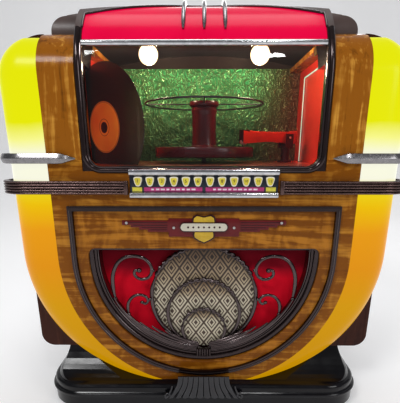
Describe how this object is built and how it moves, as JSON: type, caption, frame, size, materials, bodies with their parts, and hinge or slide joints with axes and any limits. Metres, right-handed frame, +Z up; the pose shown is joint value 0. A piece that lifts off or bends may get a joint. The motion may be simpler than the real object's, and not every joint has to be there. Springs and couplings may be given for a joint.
{
  "type": "jukebox",
  "caption": "Countertop jukebox with a wooden arched front, speaker grille, lit plastic columns, a windowed record compartment with turntable, numbered selector keys, hinged lid and rear door.",
  "frame": {"origin": "on the surface it stands on, at the middle of the overall width and depth", "axes": "+X to the right seen from the front, +Y towards the back, +Z up; the front faces -Y"},
  "size_m": [0.622, 0.448, 0.651],
  "materials": {
    "rubber_feet": "matt",
    "black_lacquer": "high gloss black lacquer",
    "dark_wood": "gloss lacquered dark mahogany",
    "front_veneer": "gloss lacquered figured walnut",
    "cheek_veneer": "gloss lacquered striped walnut",
    "panel_veneer": "gloss lacquered figured walnut",
    "dark_moulding": "dark lacquer with a bright edge",
    "grille_red": "red cloth on board",
    "speaker_cloth": "woven diamond cloth",
    "scroll_metal": "polished dark casting",
    "ornament_metal": "black nickel casting",
    "badge_maroon": "gloss maroon",
    "badge_yellow": "yellow enamel",
    "window_glass": "clear",
    "window_trim": "dark lacquer with a bright edge",
    "selector_steel": "bright plated",
    "bronze_band": "brown bronze lacquer",
    "chrome": "polished",
    "plastic_yellow": "translucent, lit from within",
    "plastic_orange": "translucent, lit from within",
    "liner_red": "satin red",
    "foil_green": "crinkled metallic foil",
    "lamp_glass": "opal bulb",
    "speaker_black": "black",
    "chassis_grey": "grey",
    "coin_steel": "brushed",
    "motor_grey": "dark grey",
    "arm_maroon": "maroon",
    "record_black": "grooved shellac with an orange label",
    "screw_steel": "bright",
    "platter_maroon": "maroon",
    "idler_rubber": "matt",
    "tonearm_red": "bright red",
    "hood_brown": "brown lacquer",
    "hood_red": "glossy crimson",
    "knob_black": "black",
    "key_yellow": "ivory and yellow"
  },
  "bodies": {
    "cabinet": {"feet": "rubber_feet", "base_plinth": "black_lacquer", "cabinet_floor": "dark_wood", "baffle_board": "dark_wood", "left_side": "dark_wood", "right_side": "dark_wood", "rear_frame": "dark_wood", "front_panel": "front_veneer", "cheeks": "cheek_veneer", "d_moulding": "dark_moulding", "grille_panel": "panel_veneer", "opening_trim": "dark_moulding", "grille_backing": "grille_red", "grille_cloth": "speaker_cloth", "scroll_casting": "scroll_metal", "base_ornament": "ornament_metal", "badge_plate": "badge_maroon", "badge_shield": "badge_yellow", "window_glass": "window_glass", "window_trim": "window_trim", "selector_housing": "selector_steel", "left_band": "bronze_band", "right_band": "bronze_band", "left_spear": "chrome", "right_spear": "chrome", "left_plastic_upper": "plastic_yellow", "left_plastic_lower": "plastic_orange", "right_plastic_upper": "plastic_yellow", "right_plastic_lower": "plastic_orange", "interior_liner": "liner_red", "foil_wall": "foil_green", "lamps": "lamp_glass", "speaker": "speaker_black", "amplifier": "chassis_grey", "coin_mechanism": "coin_steel", "motor": "motor_grey", "tonearm_post": "arm_maroon", "record": "record_black", "fasteners": "screw_steel"},
    "lid": {"lid_frame": "hood_brown", "lid_plastic": "hood_red", "lid_chrome": "chrome"},
    "rear_door": {"rear_door": "dark_wood"},
    "turntable": {"turntable": "platter_maroon"},
    "idler_wheel": {"idler_wheel": "idler_rubber"},
    "tonearm_yoke": {"tonearm_yoke": "arm_maroon"},
    "tonearm": {"tonearm": "tonearm_red"},
    "volume_knob": {"volume_knob": "knob_black"},
    "key_01": {"key_01": "key_yellow"},
    "key_02": {"key_02": "key_yellow"},
    "key_03": {"key_03": "key_yellow"},
    "key_04": {"key_04": "key_yellow"},
    "key_05": {"key_05": "key_yellow"},
    "key_06": {"key_06": "key_yellow"},
    "key_07": {"key_07": "key_yellow"},
    "key_08": {"key_08": "key_yellow"},
    "key_09": {"key_09": "key_yellow"},
    "key_10": {"key_10": "key_yellow"},
    "key_11": {"key_11": "key_yellow"},
    "key_12": {"key_12": "key_yellow"}
  },
  "joints": [
    {"name": "lid_hinge", "type": "hinge", "parent": "cabinet", "child": "lid", "pos_m": [0, 0.205, 0.603], "axis": [-1, 0, 0], "range_deg": [0, 70]},
    {"name": "rear_door_hinge", "type": "hinge", "parent": "cabinet", "child": "rear_door", "pos_m": [-0.207, 0.216, 0.34], "axis": [0, 0, 1], "range_deg": [0, 100]},
    {"name": "turntable_spin", "type": "hinge", "parent": "cabinet", "child": "turntable", "pos_m": [0, -0.036, 0.43], "axis": [0, 0, 1], "continuous": true},
    {"name": "idler_spin", "type": "hinge", "parent": "cabinet", "child": "idler_wheel", "pos_m": [0, 0.0693, 0.43], "axis": [0, 0, 1], "continuous": true},
    {"name": "tonearm_swing", "type": "hinge", "parent": "cabinet", "child": "tonearm_yoke", "pos_m": [0.156, -0.004, 0.44], "axis": [0, 0, 1], "range_deg": [-15, 25]},
    {"name": "tonearm_lift", "type": "hinge", "parent": "tonearm_yoke", "child": "tonearm", "pos_m": [0.156, -0.004, 0.456], "axis": [-0.4633, 0.8862, 0], "range_deg": [0, 12]},
    {"name": "volume_turn", "type": "hinge", "parent": "cabinet", "child": "volume_knob", "pos_m": [0.12, 0.212, 0.119], "axis": [0, 1, 0], "range_deg": [-140, 140]},
    {"name": "key_01_press", "type": "slide", "parent": "cabinet", "child": "key_01", "axis": [0, 1, 0], "range_m": [0, 0.004], "stiffness_N_per_m": 200},
    {"name": "key_02_press", "type": "slide", "parent": "cabinet", "child": "key_02", "axis": [0, 1, 0], "range_m": [0, 0.004], "stiffness_N_per_m": 200},
    {"name": "key_03_press", "type": "slide", "parent": "cabinet", "child": "key_03", "axis": [0, 1, 0], "range_m": [0, 0.004], "stiffness_N_per_m": 200},
    {"name": "key_04_press", "type": "slide", "parent": "cabinet", "child": "key_04", "axis": [0, 1, 0], "range_m": [0, 0.004], "stiffness_N_per_m": 200},
    {"name": "key_05_press", "type": "slide", "parent": "cabinet", "child": "key_05", "axis": [0, 1, 0], "range_m": [0, 0.004], "stiffness_N_per_m": 200},
    {"name": "key_06_press", "type": "slide", "parent": "cabinet", "child": "key_06", "axis": [0, 1, 0], "range_m": [0, 0.004], "stiffness_N_per_m": 200},
    {"name": "key_07_press", "type": "slide", "parent": "cabinet", "child": "key_07", "axis": [0, 1, 0], "range_m": [0, 0.004], "stiffness_N_per_m": 200},
    {"name": "key_08_press", "type": "slide", "parent": "cabinet", "child": "key_08", "axis": [0, 1, 0], "range_m": [0, 0.004], "stiffness_N_per_m": 200},
    {"name": "key_09_press", "type": "slide", "parent": "cabinet", "child": "key_09", "axis": [0, 1, 0], "range_m": [0, 0.004], "stiffness_N_per_m": 200},
    {"name": "key_10_press", "type": "slide", "parent": "cabinet", "child": "key_10", "axis": [0, 1, 0], "range_m": [0, 0.004], "stiffness_N_per_m": 200},
    {"name": "key_11_press", "type": "slide", "parent": "cabinet", "child": "key_11", "axis": [0, 1, 0], "range_m": [0, 0.004], "stiffness_N_per_m": 200},
    {"name": "key_12_press", "type": "slide", "parent": "cabinet", "child": "key_12", "axis": [0, 1, 0], "range_m": [0, 0.004], "stiffness_N_per_m": 200}
  ],
  "couplings": [
    {"joint": "idler_spin", "follows": "turntable_spin", "ratio": -6}
  ]
}
